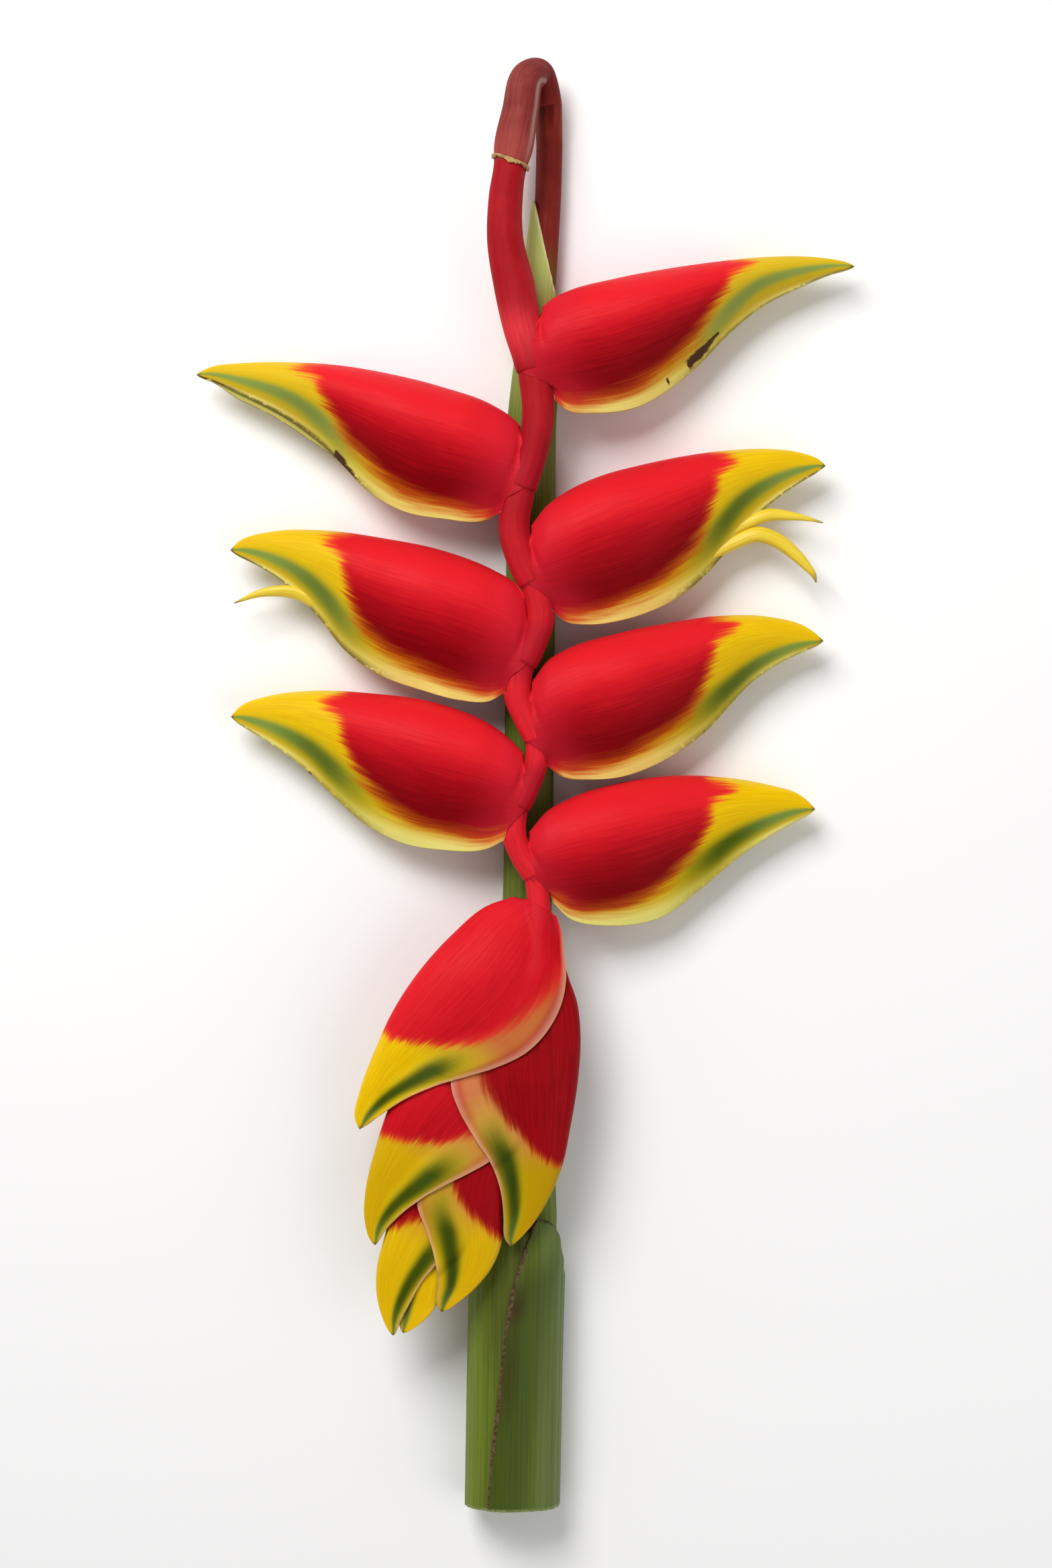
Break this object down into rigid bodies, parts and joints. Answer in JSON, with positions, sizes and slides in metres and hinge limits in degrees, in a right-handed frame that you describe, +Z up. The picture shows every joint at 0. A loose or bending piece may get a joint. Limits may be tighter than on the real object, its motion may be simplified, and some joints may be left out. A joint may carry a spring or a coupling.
{
  "type": "heliconia flower",
  "caption": "Cut hanging lobster-claw flower with a hooked stalk, boat-shaped bracts in two rows and a closed tip, lying on its back.",
  "frame": {"origin": "on the floor, under the middle of the flower's bounding box", "axes": "+Y from the cut stem towards the hook, +X to the flower's right seen from above, +Z up from the floor towards the side that shows"},
  "size_m": [0.2779, 0.6097, 0.0487],
  "materials": {
    "stalk_skin": "red velvety plant skin",
    "bract_skin": "smooth waxy, faintly velvety bract",
    "flower_skin": "smooth petal",
    "sheath_skin": "smooth waxy leaf sheath",
    "dry_skin": "dry papery rim"
  },
  "bodies": {
    "root": {"flower_stalk": "stalk_skin", "sheath_inner": "sheath_skin", "sheath_second": "sheath_skin", "sheath_third": "sheath_skin", "sheath_outer": "sheath_skin", "scar_rim": "dry_skin", "bract_01": "bract_skin", "bract_02": "bract_skin", "bract_03": "bract_skin", "bract_04": "bract_skin", "bract_05": "bract_skin", "bract_06": "bract_skin", "bract_07": "bract_skin", "bract_08": "bract_skin", "bract_09": "bract_skin", "bract_10": "bract_skin", "bract_11": "bract_skin", "bract_12": "bract_skin", "bract_bud": "bract_skin", "flowers_01": "flower_skin", "flowers_02": "flower_skin", "flowers_03": "flower_skin", "flowers_04": "flower_skin", "flowers_05": "flower_skin", "flowers_06": "flower_skin", "flowers_07": "flower_skin"}
  },
  "joints": []
}
